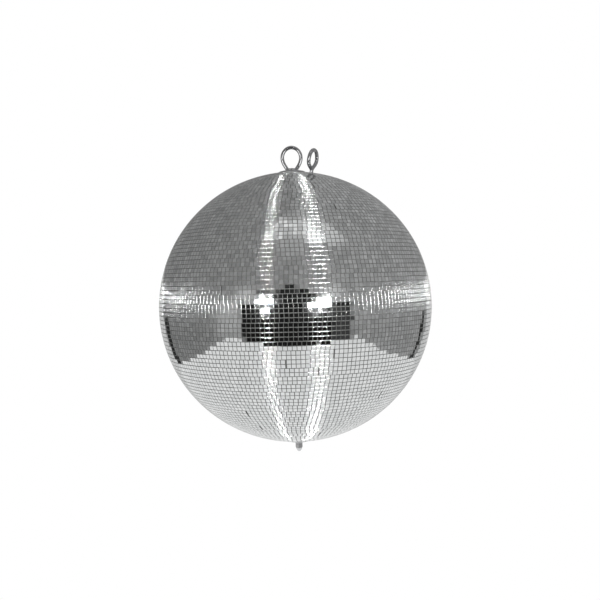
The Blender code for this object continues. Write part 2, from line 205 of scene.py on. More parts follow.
def bump(add, height, strength, distance, below=None):
    inputs = [("Height", height), ("Strength", strength), ("Distance", distance)]
    if below is not None:
        inputs.append(("Normal", below))
    return add("ShaderNodeBump", inputs).outputs["Normal"]


def mirror_material():
    """Silvered glass: each mirror's own tone, with faint haze and waviness."""
    material, shader, add = new_material("mirror_face")
    tone = add("ShaderNodeAttribute", attribute_name="tone").outputs["Fac"]
    haze = noise(add, 90.0)
    wave = noise(add, 40.0, detail=1.0)
    wire_up(
        material,
        shader,
        Base_Color=tint(add, tone, (0.74, 0.755, 0.755), (0.84, 0.85, 0.85)),
        Roughness=spread(add, haze, 0.01, 0.075),
        Normal=bump(add, wave, 0.02, 0.001),
    )
    shader.inputs["Metallic"].default_value = 1.0
    return material


def mirror_edge_material():
    """The ground edges of the mirrors, whose grinding marks run across each edge."""
    material, shader, add = new_material("mirror_edge")
    grain = noise(add, 700.0)
    polish = add("ShaderNodeAttribute", attribute_name="polish").outputs["Fac"]
    ground = tint(add, grain, (0.62, 0.65, 0.64), (0.84, 0.86, 0.85))
    across = add("ShaderNodeAttribute", attribute_name="across").outputs["Vector"]
    turned = add(
        "ShaderNodeVectorTransform",
        [("Vector", across)],
        vector_type="VECTOR",
        convert_from="OBJECT",
        convert_to="WORLD",
    )
    wire_up(
        material,
        shader,
        Base_Color=tint(add, polish, CROSS_EDGE_COLOUR, ground),
        Roughness=spread(add, grain, 0.20, 0.28),
        Tangent=turned.outputs["Vector"],
    )
    shader.inputs["Metallic"].default_value = 1.0
    shader.inputs["Anisotropic"].default_value = 0.98
    return material


def bed_material():
    """Grey contact adhesive between the mirrors."""
    material, shader, add = new_material("adhesive")
    blotch = noise(add, 160.0)
    grain = noise(add, 1500.0)
    wire_up(
        material,
        shader,
        Base_Color=tint(add, blotch, (0.11, 0.11, 0.105), (0.20, 0.20, 0.19)),
        Roughness=spread(add, grain, 0.6, 0.85),
        Normal=bump(add, grain, 0.3, 0.0003),
    )
    shader.inputs["Specular IOR Level"].default_value = 0.2
    return material


def shell_material():
    """Moulded plastic halves."""
    material, shader, add = new_material("moulded_shell")
    grain = noise(add, 900.0)
    flow = noise(add, 25.0, stretch=(1.0, 1.0, 4.0))
    wire_up(
        material,
        shader,
        Base_Color=tint(add, flow, (0.24, 0.24, 0.24), (0.33, 0.33, 0.325)),
        Roughness=spread(add, grain, 0.5, 0.7),
        Normal=bump(add, grain, 0.15, 0.0003),
    )
    return material


def metal_material(name, dark, light, roughness, grain_scale, stretch=(1.0, 1.0, 1.0)):
    """Plated or rolled metal: cloudy tone, fine grain and brighter worn edges."""
    material, shader, add = new_material(name)
    cloud = noise(add, 55.0, detail=4.0)
    grain = noise(add, grain_scale, stretch=stretch)
    point = add("ShaderNodeNewGeometry").outputs["Pointiness"]
    worn = add(
        "ShaderNodeMapRange",
        [("Value", point), ("From Min", 0.5), ("From Max", 0.58), ("To Max", 0.5)],
    ).outputs["Result"]
    colour = tint(add, cloud, dark, light)
    wire_up(
        material,
        shader,
        Base_Color=tint(add, worn, colour, WORN_EDGE_COLOUR),
        Roughness=spread(add, grain, roughness * 0.7, roughness * 1.4),
        Normal=bump(add, grain, 0.06, 0.0003),
    )
    shader.inputs["Metallic"].default_value = 1.0
    return material


def nylon_material():
    material, shader, add = new_material("natural_nylon")
    cloud = noise(add, 120.0)
    grain = noise(add, 1200.0)
    wire_up(
        material,
        shader,
        Base_Color=tint(add, cloud, (0.70, 0.68, 0.60), (0.82, 0.80, 0.74)),
        Roughness=spread(add, grain, 0.35, 0.5),
        Normal=bump(add, grain, 0.1, 0.0002),
    )
    shader.inputs["Subsurface Weight"].default_value = 0.1
    return material


# Mirrors


def ball_point(angle, depth):
    """Radius and height, from the ball's centre, of a point this far below the mirrors."""
    radius = (BALL_RADIUS - depth) * math.cos(angle)
    return radius, (POLE_RADIUS - depth) * math.sin(angle)


def tile_frame(angle, azimuth, tilt):
    """Where a mirror lies: X runs round the ball, Y up it and Z straight out."""
    radius, height = ball_point(angle, TILE_SINK)
    lean = math.atan2(math.sin(angle) / POLE_RADIUS, math.cos(angle) / BALL_RADIUS)
    around = Matrix.Rotation(azimuth, 4, "Z")
    out = Matrix.Translation((radius, 0.0, height)) @ Matrix.Rotation(-lean, 4, "Y")
    stand = Matrix(((0, 0, 1, 0), (1, 0, 0, 0), (0, 1, 0, 0), (0, 0, 0, 1)))
    return Matrix.Translation(CENTRE) @ around @ out @ stand @ tilt


def random_tilt(strip_tilt):
    """A mirror's small errors of place and direction."""
    slip = (chance.gauss(0.0, SLIP_SPREAD), chance.gauss(0.0, SLIP_SPREAD), 0.0)
    lean = chance.gauss(strip_tilt, TILT_SPREAD)
    swing = chance.gauss(0.0, TILT_SPREAD)
    turn = chance.gauss(0.0, TURN_SPREAD)
    size = 1.0 + chance.uniform(-SIZE_SPREAD, SIZE_SPREAD)
    tilt = Matrix.Translation(slip) @ Matrix.Rotation(lean, 4, "X")
    tilt = tilt @ Matrix.Rotation(swing, 4, "Y") @ Matrix.Rotation(turn, 4, "Z")
    return tilt @ Matrix.Diagonal((size, size, 1.0, 1.0))


def lean_towards(start, end, angle):
    return tuple(math.cos(angle) * a + math.sin(angle) * b for a, b in zip(start, end, strict=True))


def tile_template():
    """Points, faces, corner normals and each face's direction across its edge, for one mirror."""
    half = TILE_SIZE / 2
    corners = ((-1, -1), (1, -1), (1, 1), (-1, 1))
    levels = (
        (half - CROSS_CHAMFER, half - ROW_CHAMFER, 0.0),
        (half, half, -ROW_CHAMFER),
        (half, half, -TILE_THICKNESS),
    )
    points = [(x * wide, y * tall, z) for wide, tall, z in levels for x, y in corners]
    sides = ((0, -1, 0), (1, 0, 0), (0, 1, 0), (-1, 0, 0))
    top = (0, 0, 1)
    faces = [(0, 1, 2, 3)]
    normals = [top] * 4
    across = [(1, 0, 0)]
    for level in (0, 4):
        for k, side in enumerate(sides):
            across.append((side[0], side[1], -1))
            after = (k + 1) % 4
            faces.append((level + after, level + k, level + 4 + k, level + 4 + after))
            lean = ROW_LEAN if side[1] else CROSS_LEAN
            first = lean_towards(top, side, lean) if level == 0 else side
            normals += [first, first, side, side]
    faces.append((11, 10, 9, 8))
    normals += [(0, 0, -1)] * 4
    across.append((1, 0, 0))
    return tuple(np.array(part) for part in (points, faces, normals, across))


class Strip:
    """One or two rows of mirrors on their own adhesive bed, closed by an end slit."""

    def __init__(self, rows, upper, keep_clear=None):
        self.rows = rows
        self.sign = 1.0 if upper else -1.0
        middle = ROW_ANGLE * (rows[0] + rows[-1] + 1) / 2
        around = math.tau * ball_point(middle, 0.0)[0]
        seam = chance.uniform(*SEAM_RANGE)
        self.count = round((around - seam) / (TILE_SIZE + JOINT))
        self.pitch = math.tau * (1 - seam / around) / self.count
        self.start = chance.uniform(0.0, math.tau)
        self.tilt = chance.gauss(0.0, STRIP_TILT_SPREAD)
        self.missing = None
        if keep_clear is not None:
            self.missing = self.count // 2
            self.start = keep_clear - (self.missing + 0.5) * self.pitch

    def frames(self):
        """Where each of the strip's mirrors lies."""
        for row in self.rows:
            angle = self.sign * (row + 0.5) * ROW_ANGLE
            for number in range(self.count):
                azimuth = self.start + (number + 0.5) * self.pitch
                tilt = random_tilt(self.tilt)
                if number != self.missing:
                    yield tile_frame(angle, azimuth, tilt)

    def runs(self):
        """First and last tile edge of each unbroken stretch of the bed."""
        if self.missing is None:
            return [(0, self.count)]
        return [(0, self.missing), (self.missing + 1, self.count)]


def safety_foot():
    """Bearing of the safety eye's foot, and the row of mirrors that it stands in."""
    foot = Vector(swivel["pos_m"]) - CENTRE
    reach = math.hypot(foot.x, foot.y)
    row = int(math.acos(reach / BALL_RADIUS) / ROW_ANGLE)
    return math.atan2(foot.y, foot.x), row


def plan_strips():
    """Every strip of the ball, by (half, band)."""
    bearing, clear_row = safety_foot()
    plan = {}
    for half in ("upper", "lower"):
        for band in range(BANDS):
            strips = []
            first = band * ROWS_PER_BAND
            while first < (band + 1) * ROWS_PER_BAND:
                single = first * ROW_ANGLE > SINGLE_ROW_ANGLE
                rows = list(range(first, first + (1 if single else ROWS_PER_STRIP)))
                clear = bearing if half == "upper" and clear_row in rows else None
                strips.append(Strip(rows, half == "upper", clear))
                first = rows[-1] + 1
            plan[half, band] = strips
    return plan


def mesh_piece(name, points, faces, materials):
    mesh = bpy.data.meshes.new(name)
    mesh.from_pydata(points, [], faces)
    for material in materials:
        mesh.materials.append(material)
    return link(name, mesh)


def make_tiles(name, strips, materials):
    """All the mirrors of one band as one piece."""
    points, faces, normals, across = tile_template()
    frames = [np.array(place) for strip in strips for place in strip.frames()]
    count = len(frames)
    turns = np.array([place[:3, :3] for place in frames])
    moves = np.array([place[:3, 3] for place in frames])
    all_points = np.einsum("nij,pj->npi", turns, points) + moves[:, None, :]
    all_normals = np.einsum("nij,pj->npi", turns, normals)
    all_across = np.einsum("nij,pj->npi", turns, across)
    all_faces = faces[None] + (np.arange(count) * len(points))[:, None, None]
    piece = mesh_piece(
        name, all_points.reshape(-1, 3).tolist(), all_faces.reshape(-1, 4).tolist(), materials
    )
    mesh = piece.data
    look = np.array([MIRROR_FACE] + [MIRROR_EDGE] * 4 + [MIRROR_WALL] * 5)
    mesh.polygons.foreach_set("material_index", np.tile(look, count))
    mesh.shade_smooth()
    tone = mesh.attributes.new("tone", "FLOAT", "FACE")
    tones = [chance.random() for _ in range(count)]
    tone.data.foreach_set("value", np.repeat(tones, len(faces)))
    polish = mesh.attributes.new("polish", "FLOAT", "FACE")
    polish.data.foreach_set("value", np.tile(np.abs(across[:, 1]), count).astype(float))
    grain = mesh.attributes.new("across", "FLOAT_VECTOR", "FACE")
    grain.data.foreach_set("vector", all_across.ravel())
    mesh.normals_split_custom_set(all_normals.reshape(-1, 3).tolist())
    return piece


def make_beds(name, strips, material):
    """The adhesive under a half's mirrors, strip by strip."""
    points, faces = [], []
    slit = BED_SLIT / BALL_RADIUS / 2
    for strip in strips:
        low = strip.rows[0] * ROW_ANGLE + slit
        high = (strip.rows[-1] + 1) * ROW_ANGLE - slit
        angles = np.linspace(low, high, len(strip.rows) + 1)
        section = [ball_point(angle, BED_DEPTH) for angle in angles]
        section += [ball_point(angle, BED_BASE_DEPTH) for angle in reversed(angles)]
        size = len(section)
        for first, last in strip.runs():
            base = len(points)
            for edge in range(first, last + 1):
                azimuth = strip.start + edge * strip.pitch
                for radius, height in section:
                    flat = Vector((radius * math.cos(azimuth), radius * math.sin(azimuth)))
                    points.append((flat.x, flat.y, CENTRE.z + strip.sign * height))
            rings = last - first + 1
            stretch = []
            for ring in range(rings - 1):
                here = base + ring * size
                for k in range(size):
                    after = (k + 1) % size
                    stretch.append((here + k, here + size + k, here + size + after, here + after))
            stretch.append(tuple(base + k for k in range(size)))
            stretch.append(tuple(base + (rings - 1) * size + k for k in reversed(range(size))))
            if strip.sign < 0:
                stretch = [tuple(reversed(face)) for face in stretch]
            faces += stretch
    return mesh_piece(name, points, faces, [material])


def make_mirrors(looks):
    plan = plan_strips()
    mirror_looks = [looks["mirror"], looks["edge"], looks["bed"]]
    for (half, band), strips in plan.items():
        number = band + 1
        tiles = make_tiles(f"mirrors_{half}_{number}", strips, mirror_looks)
        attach(tiles, "ball")
        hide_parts(f"mirror_band_{half}_{number}")
    for half in ("upper", "lower"):
        strips = [strip for (side, _), rows in plan.items() if side == half for strip in rows]
        beds = make_beds(f"adhesive_{half}", strips, looks["bed"])
        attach(beds, "ball")


# Hardware, in the CAD model's sizes, with the detail that the CAD leaves out

GAP = 0.0003
TURN_STEPS = 96
ROUND_STEPS = 4
ROUND_REACH = 0.4  # most of a side that a rounded corner takes
SHARP_ANGLE = math.radians(40.0)
HUB_FACE_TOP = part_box("top_hub_plate")[1].z
HUB_FACE_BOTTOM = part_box("bottom_hub_plate")[0].z
HUB_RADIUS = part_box("top_hub_plate")[1].x
HUB_THICKNESS = 0.005
HUB_EDGE = (0.007, 0.0036)  # width and drop of its sloping rim
HUB_ROUND = 0.0008
BUSH_HOLE = 0.0093
RECESS_RADIUS = 0.0195
RECESS_DEPTH = 0.003
SCREW_CIRCLE = 0.028
SCREW_COUNT = 3
FIRST_SCREW = math.radians(90.0)
SCREW_HEAD = (0.0045, 0.0025)  # radius and depth
SCREW_SHANK = (0.0025, 0.017)  # radius, and length with the head
SCREW_PITCH = 0.0010
SCREW_ROUND = 0.0002
SCREW_TIP = 0.6  # of the shank's radius
SCREW_STEPS = 48
SINK_DEPTH = 0.01  # a countersink cutter reaches past the disc
RECESS_ARM = (0.0052, 0.0009, 0.0013)  # cross recess: length, width, depth
AXLE_RADIUS = 0.006
AXLE_PITCH = 0.00175
AXLE_EDGE = 0.0010
AXLE_STEPS = 64
THREAD_DEPTH = 0.0006  # on the axle; a finer thread is shallower
WASHER_ROUND = 0.3  # of its thickness
NUT_FLATS = 0.019
CAP_HEX_HEIGHT = 0.0095
HEX_CORNER = 0.0005
HEX_CORNER_STEPS = 3
HEX_CHAMFER = math.radians(35.0)
CAP_DOME_RADIUS = 0.0085
CAP_DOME_STEPS = 24
CAP_BORE_DEPTH = 0.015
WIRE_RADIUS = 0.005
EYE_VOXEL = 0.00045
EYE_SMOOTH_STEPS = 8
ARC_HANDLE = 0.5523  # handle length of a quarter circle, as a share of its radius
EYE_RISE = 0.064  # from the pole up to the origin, where a hook bears
LOOP_HALF_WIDTH = 0.0257  # of both eyes, at the centre of the bar
LOOP_ARC_HEIGHT = 0.0285
LOOP_SIDE_HANDLE = 0.013
LEG_HALF_WIDTH = 0.0118
LEG_RISE = 0.0075  # from the pole up to the buried ends of the legs
LEG_HANDLE = (0.007, 0.011)
COLLAR_RADIUS = 0.0172
COLLAR_FOOT_RADIUS = 0.0182
COLLAR_FOOT_RISE = 0.0056
COLLAR_TOP_RISE = 0.0122
COLLAR_DOME = 0.0024
COLLAR_SHOULDER = (0.0086, 0.0008)  # radius and drop
COLLAR_ROUND = 0.0012
SAFETY_SHANK_DEPTH = 0.028
SAFETY_NECK = (0.004, 0.014)  # the neck's height and its upper handle's
SAFETY_LOOP_CENTRE = 0.034
SAFETY_LOOP_HEIGHT = 0.026
SAFETY_LEG_HANDLE = 0.016
SAFETY_LOOP_END = (-0.0039, 0.0103)
SAFETY_LOOP_TURN = math.radians(65.0)


def rounded(outline, cut, closed=True):
    """Replace an outline's corners by small curves."""
    made = []
    count = len(outline)
    for k, here in enumerate(outline):
        if not closed and k in (0, count - 1):
            made.append(here)
            continue
        here = Vector(here)
        before = Vector(outline[k - 1]) - here
        after = Vector(outline[(k + 1) % count]) - here
        start = here + before.normalized() * min(cut, before.length * ROUND_REACH)
        end = here + after.normalized() * min(cut, after.length * ROUND_REACH)
        for step in range(ROUND_STEPS + 1):
            part = step / ROUND_STEPS
            point = start * (1 - part) ** 2 + here * 2 * part * (1 - part) + end * part**2
            made.append(tuple(point))
    return made


def lathe(name, outline, closed=True, steps=TURN_STEPS):
    """Turn (radius, height) points, which run down the outer side, about the Z axis."""
    points, rings, faces = [], [], []
    for radius, height in outline:
        if radius < GAP / 10:
            rings.append([len(points)] * steps)
            points.append((0.0, 0.0, height))
            continue
        rings.append(range(len(points), len(points) + steps))
        turns = (math.tau * k / steps for k in range(steps))
        points += [(radius * math.cos(turn), radius * math.sin(turn), height) for turn in turns]
    below = rings[1:] + (rings[:1] if closed else [])
    for upper, lower in zip(rings, below, strict=False):
        for k in range(steps):
            after = (k + 1) % steps
            corners = dict.fromkeys((upper[k], lower[k], lower[after], upper[after]))
            if len(corners) > 2:
                faces.append(tuple(corners))
    return mesh_piece(name, points, faces, [])


def box_solid(name, sizes, place):
    """A block with its top face at the place's height."""
    shape = bmesh.new()
    drop = Matrix.Translation((0.0, 0.0, -sizes[2] / 2))
    turn = place @ drop @ Matrix.Diagonal((*sizes, 1.0))
    bmesh.ops.create_cube(shape, size=1.0, matrix=turn)
    mesh = bpy.data.meshes.new(name)
    shape.to_mesh(mesh)
    shape.free()
    return link(name, mesh)


def settle(piece):
    """Replace a piece's data by what its modifiers or its curve make."""
    graph = bpy.context.evaluated_depsgraph_get()
    mesh = bpy.data.meshes.new_from_object(piece.evaluated_get(graph))
    made = link(piece.name + "_solid", mesh)
    made.matrix_world = piece.matrix_world
    name = piece.name
    bpy.data.objects.remove(piece)
    made.name = name
    return made


def combine(piece, tool, operation):
    boolean = piece.modifiers.new(operation, "BOOLEAN")
    boolean.operation = operation
    boolean.object = tool
    boolean.solver = "EXACT"
    piece = settle(piece)
    bpy.data.objects.remove(tool)
    return piece


def finish_piece(piece, look, body, slot, *nodes):
    """Give a made piece its look, its body and the CAD nodes that it replaces."""
    mesh = piece.data
    mesh.transform(piece.matrix_world)
    piece.matrix_world = Matrix()
    mesh.materials.clear()
    mesh.materials.append(look)
    mesh.polygons.foreach_set("material_index", [0] * len(mesh.polygons))
    mesh.shade_smooth()
    mesh.set_sharp_from_angle(angle=SHARP_ANGLE)
    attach(piece, body)
    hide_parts(*nodes)


def thread(top, bottom, radius, pitch):
    """Thread grooves down the outer side of a rod."""
    count = int((top - bottom) / pitch)
    outline = []
    for k in range(count):
        height = top - k * pitch
        outline += [(radius, height), (radius - THREAD_DEPTH * pitch / AXLE_PITCH, height - pitch / 2)]
    return outline


def screw_places():
    for number in range(SCREW_COUNT):
        bearing = FIRST_SCREW + math.tau * number / SCREW_COUNT
        yield SCREW_CIRCLE * math.cos(bearing), SCREW_CIRCLE * math.sin(bearing), bearing


def make_screw(name):
    """A countersunk screw with a cross recess; its head's face is at the origin."""
    head, depth = SCREW_HEAD
    shank, length = SCREW_SHANK
    tip = shank * SCREW_TIP
    outline = rounded([(0.0, 0.0), (head, 0.0), (shank, -depth)], SCREW_ROUND, closed=False)
    outline += thread(-depth - SCREW_PITCH, -length + SCREW_PITCH, shank, SCREW_PITCH)
    outline += [(tip, -length), (0.0, -length)]
    screw = lathe(name, outline, closed=False, steps=SCREW_STEPS)
    long, thick, deep = RECESS_ARM
    for turn in (0.0, math.pi / 2):
        place = Matrix.Rotation(turn, 4, "Z") @ Matrix.Translation((0.0, 0.0, GAP))
        screw = combine(screw, box_solid("arm", (long, thick, deep + GAP), place), "DIFFERENCE")
    return screw


def make_screws(looks):
    for half, face, flip in (("upper", HUB_FACE_TOP, 0.0), ("lower", HUB_FACE_BOTTOM, math.pi)):
        for number, (x, y, bearing) in enumerate(screw_places(), 1):
            screw = make_screw(f"screw_{half}_{number}")
            turned = bearing + chance.uniform(0.0, math.pi)
            place = Matrix.Translation((x, y, face)) @ Matrix.Rotation(flip, 4, "X")
            screw.matrix_world = place @ Matrix.Rotation(turned, 4, "Z")
            finish_piece(screw, looks["zinc"], "ball", "zinc", f"{half}_hub_screw_{number}")


def make_hub(name, outline, face, flip):
    """A turned hub disc, countersunk for its screws."""
    hub = lathe(name, outline)
    head, depth = SCREW_HEAD
    shank = SCREW_SHANK[0] + GAP
    for x, y, _ in screw_places():
        wide = head + GAP
        cone = [(0.0, GAP), (wide + GAP, GAP), (shank, -depth - GAP)]
        cone += [(shank, -SINK_DEPTH), (0.0, -SINK_DEPTH)]
        tool = lathe("sink", cone, closed=False, steps=SCREW_STEPS)
        tool.matrix_world = Matrix.Translation((x, y, face)) @ Matrix.Rotation(flip, 4, "X")
        hub = combine(hub, tool, "DIFFERENCE")
    return hub


def make_hubs(looks):
    back = HUB_THICKNESS
    top = [
        (RECESS_RADIUS, 0.0),
        (HUB_RADIUS - HUB_EDGE[0], 0.0),
        (HUB_RADIUS, -HUB_EDGE[1]),
        (HUB_RADIUS, -back),
        (BUSH_HOLE, -back),
        (BUSH_HOLE, -RECESS_DEPTH),
        (RECESS_RADIUS, -RECESS_DEPTH),
    ]
    top = [(r, z + HUB_FACE_TOP) for r, z in rounded(top, HUB_ROUND)]
    hub = make_hub("hub_top", top, HUB_FACE_TOP, 0.0)
    finish_piece(hub, looks["steel"], "ball", "steel", "top_hub_plate")
    bottom = [
        (BUSH_HOLE, back),
        (HUB_RADIUS, back),
        (HUB_RADIUS, HUB_EDGE[1]),
        (HUB_RADIUS - HUB_EDGE[0], 0.0),
        (BUSH_HOLE, 0.0),
    ]
    bottom = [(r, z + HUB_FACE_BOTTOM) for r, z in rounded(bottom, HUB_ROUND)]
    hub = make_hub("hub_bottom", bottom, HUB_FACE_BOTTOM, math.pi)
    finish_piece(hub, looks["steel"], "ball", "steel", "bottom_hub_plate")


def make_washer(name, node, look, looks):
    low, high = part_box(node)
    bore = AXLE_RADIUS + GAP
    outline = [(bore, high.z), (high.x, high.z), (high.x, low.z), (bore, low.z)]
    washer = lathe(name, rounded(outline, (high.z - low.z) * WASHER_ROUND))
    finish_piece(washer, looks[look], "hanger", "zinc", node)


def hexagon(name, low, high):
    """A hexagon with rounded corners and turned chamfers at both ends."""
    shape = bmesh.new()
    radius = NUT_FLATS / math.sqrt(3.0)
    bmesh.ops.create_cone(
        shape, cap_ends=True, segments=6, radius1=radius, radius2=radius, depth=high - low
    )
    corners = [edge for edge in shape.edges if abs(edge.verts[0].co.z - edge.verts[1].co.z) > GAP]
    bmesh.ops.bevel(shape, geom=corners, offset=HEX_CORNER, segments=HEX_CORNER_STEPS, affect="EDGES")
    bmesh.ops.translate(shape, verts=shape.verts, vec=(0.0, 0.0, (low + high) / 2))
    mesh = bpy.data.meshes.new(name)
    shape.to_mesh(mesh)
    shape.free()
    nut = link(name, mesh)
    rim = NUT_FLATS / 2 + GAP
    drop = (radius - rim) * math.tan(HEX_CHAMFER)
    out = radius + GAP
    ends = [(0.0, high), (rim, high), (out, high - drop), (out, low + drop), (rim, low), (0.0, low)]
    return combine(nut, lathe("chamfer", ends, closed=False), "INTERSECT")


def bore(piece, radius, low, high):
    ends = [(0.0, high), (radius, high), (radius, low), (0.0, low)]
    return combine(piece, lathe("bore", ends, closed=False), "DIFFERENCE")


def make_nuts(looks):
    low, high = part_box("bottom_jam_nut")
    nut = hexagon("jam_nut", low.z, high.z)
    nut = bore(nut, AXLE_RADIUS + GAP, low.z - GAP, high.z + GAP)
    finish_piece(nut, looks["zinc"], "hanger", "zinc", "bottom_jam_nut")
    low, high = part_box("bottom_cap_nut")
    seat = high.z - CAP_HEX_HEIGHT
    cap = hexagon("cap_nut", seat, high.z)
    wide, tall = CAP_DOME_RADIUS, seat - low.z
    round_end = [(0.0, seat + GAP), (wide, seat + GAP)]
    for step in range(1, CAP_DOME_STEPS + 1):
        turn = math.pi / 2 * step / CAP_DOME_STEPS
        round_end.append((wide * math.cos(turn), seat - tall * math.sin(turn)))
    round_end[-1] = (0.0, low.z)
    cap = combine(cap, lathe("dome", round_end, closed=False), "UNION")
    cap = bore(cap, AXLE_RADIUS + GAP, high.z - CAP_BORE_DEPTH, high.z + GAP)
    finish_piece(cap, looks["bright"], "hanger", "chrome", "bottom_cap_nut")


def make_axle(looks):
    low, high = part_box("axle_rod")
    edge = AXLE_EDGE
    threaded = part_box("bottom_hub_plate")[1].z
    outline = [(0.0, high.z), (AXLE_RADIUS - edge, high.z), (AXLE_RADIUS, high.z - edge)]
    outline += thread(threaded, low.z + edge, AXLE_RADIUS, AXLE_PITCH)
    outline += [(AXLE_RADIUS - edge, low.z), (0.0, low.z)]
    axle = lathe("axle", outline, closed=False, steps=AXLE_STEPS)
    finish_piece(axle, looks["zinc"], "hanger", "zinc", "axle_rod")


def bent_bar(name, knots):
    """A round bar along Bezier knots in the XZ plane, each a handle, its point and a handle."""
    curve = bpy.data.curves.new(name, "CURVE")
    curve.dimensions = "3D"
    curve.bevel_depth = WIRE_RADIUS
    curve.bevel_resolution = 12
    curve.resolution_u = 24
    curve.use_fill_caps = True
    path = curve.splines.new("BEZIER")
    path.bezier_points.add(len(knots) - 1)
    for point, knot in zip(path.bezier_points, knots, strict=True):
        left, middle, right = (Vector((x, 0.0, z)) for x, z in knot)
        point.handle_left_type = point.handle_right_type = "FREE"
        point.co, point.handle_left, point.handle_right = middle, left, right
    return settle(link(name, curve))


def forge(piece):
    """Blend the joins and round the edges, as a forged and plated bar's are."""
    remesh = piece.modifiers.new("skin", "REMESH")
    remesh.mode = "VOXEL"
    remesh.voxel_size = EYE_VOXEL
    smooth = piece.modifiers.new("blend", "SMOOTH")
    smooth.iterations = EYE_SMOOTH_STEPS
    return settle(piece)


def make_main_eye(looks):
    """The hanging loop, whose legs run down into a domed collar."""
    pole = -EYE_RISE
    wide, leg = LOOP_HALF_WIDTH, LEG_HALF_WIDTH
    crest = WIRE_RADIUS
    side, foot = crest - LOOP_ARC_HEIGHT, pole + LEG_RISE
    reach, rise = ARC_HANDLE * wide, ARC_HANDLE * LOOP_ARC_HEIGHT
    right = [
        ((leg, foot), (leg, foot), (leg + LEG_HANDLE[0], foot + LEG_HANDLE[1])),
        ((wide, side - LOOP_SIDE_HANDLE), (wide, side), (wide, side + rise)),
    ]
    left = [tuple((-x, z) for x, z in reversed(knot)) for knot in reversed(right)]
    bar = bent_bar("hanging_eye", right + [((reach, crest), (0.0, crest), (-reach, crest))] + left)
    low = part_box("main_eye")[0].z
    top = pole + COLLAR_TOP_RISE
    collar = [
        (0.0, top),
        (COLLAR_SHOULDER[0], top - COLLAR_SHOULDER[1]),
        (COLLAR_RADIUS, top - COLLAR_DOME),
        (COLLAR_RADIUS, pole + COLLAR_FOOT_RISE),
        (COLLAR_FOOT_RADIUS, low),
        (0.0, low),
    ]
    collar = rounded(collar, COLLAR_ROUND, closed=False)
    eye = combine(bar, lathe("collar", collar, closed=False), "UNION")
    eye = bore(eye, AXLE_RADIUS + GAP, low - GAP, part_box("axle_rod")[1].z + GAP)
    finish_piece(forge(eye), looks["eye"], "hanger", "chrome", "main_eye")


def make_safety_eye(looks):
    """A bar bent round until its cut end nearly meets the shank."""
    wide, side = LOOP_HALF_WIDTH, SAFETY_LOOP_CENTRE
    crest = side + SAFETY_LOOP_HEIGHT
    reach, rise = ARC_HANDLE * wide, ARC_HANDLE * SAFETY_LOOP_HEIGHT
    low, deep = side - SAFETY_LEG_HANDLE, -SAFETY_SHANK_DEPTH
    end = SAFETY_LOOP_END
    knots = [
        ((0.0, deep), (0.0, deep), (0.0, deep / 2)),
        ((0.0, 0.0), (0.0, SAFETY_NECK[0]), (0.0, SAFETY_NECK[1])),
        ((wide, low), (wide, side), (wide, side + rise)),
        ((reach, crest), (0.0, crest), (-reach, crest)),
        ((-wide, side + rise), (-wide, side), (-wide, low)),
        ((end[0] - WIRE_RADIUS, end[1] + WIRE_RADIUS), end, end),
    ]
    eye = forge(bent_bar("safety_loop", knots))
    axis = Vector(swivel["axis"])
    bearing = math.atan2(axis.y, axis.x)
    stand = Matrix.Rotation(bearing, 4, "Z") @ Matrix.Rotation(math.acos(axis.z), 4, "Y")
    turn = Matrix.Rotation(SAFETY_LOOP_TURN - bearing, 4, "Z")
    eye.matrix_world = Matrix.Translation(swivel["pos_m"]) @ stand @ turn
    finish_piece(eye, looks["eye"], "safety_eye", "chrome", "safety_eye")


def make_hardware(looks):
    make_hubs(looks)
    make_screws(looks)
    make_washer("washer_top", "top_washer", "zinc", looks)
    make_washer("washer_bottom", "bottom_washer", "zinc", looks)
    make_nuts(looks)
    make_axle(looks)
    make_main_eye(looks)
    make_safety_eye(looks)


# Studio

STUDIO_DROP = 2.0  # from the ball's centre down to the floor
SHEET_FRONT = 1.8 * STUDIO_DROP
SHEET_BACK = 2.0 * STUDIO_DROP
SHEET_FRONT_LEFT = 2.45 * STUDIO_DROP
SHEET_FRONT_RIGHT = 2.0 * STUDIO_DROP
SHEET_BACK_HALF = 1.9 * STUDIO_DROP
SHEET_TOP = math.tan(math.radians(5.0)) * SHEET_BACK
SHEET_BEND = 0.5
SHEET_BEND_STEPS = 12
FLOOR_FRONT_GLOW = 0.80
FLOOR_BACK_GLOW = 0.90
BACKDROP_GLOW = 0.66
LAMP_DISTANCE = 2.6
LAMP_RADIANCE = 340.0
SOFT_RADIANCE = 5.0  # on everything but the mirrors
FILL_RADIANCE = 3.0  # on matte surfaces only
ROOM_GLOW = 0.225
CEILING_GLOW = 0.02  # more than the walls
RIGHT_GLOW = 0.075  # more than the left
MOTTLE_SCALE = 22.0
MOTTLE_RANGE = (0.84, 1.30)


def emission(tree, colour, strength):
    return add_node(tree, "ShaderNodeEmission", [("Color", colour), ("Strength", strength)])


def camera_white(tree, light):
    """Light, but pure white where the camera sees it directly."""
    path = add_node(tree, "ShaderNodeLightPath").outputs["Is Camera Ray"]
    mix = add_node(tree, "ShaderNodeMix", [("Factor", path), ("A", light), ("B", 1.0)])
    return mix.outputs["Result"]


def sheet_material():
    """White paper, which glows by itself as if it were evenly lit."""
    material = bpy.data.materials.new("studio_paper")
    material.use_nodes = True
    tree = material.node_tree
    tree.nodes.clear()
    glow = add_node(tree, "ShaderNodeAttribute", attribute_name="glow").outputs["Fac"]
    light = emission(tree, (1.0, 1.0, 1.0, 1.0), camera_white(tree, glow))
    out = tree.nodes.new("ShaderNodeOutputMaterial")
    tree.links.new(light.outputs[0], out.inputs["Surface"])
    return material


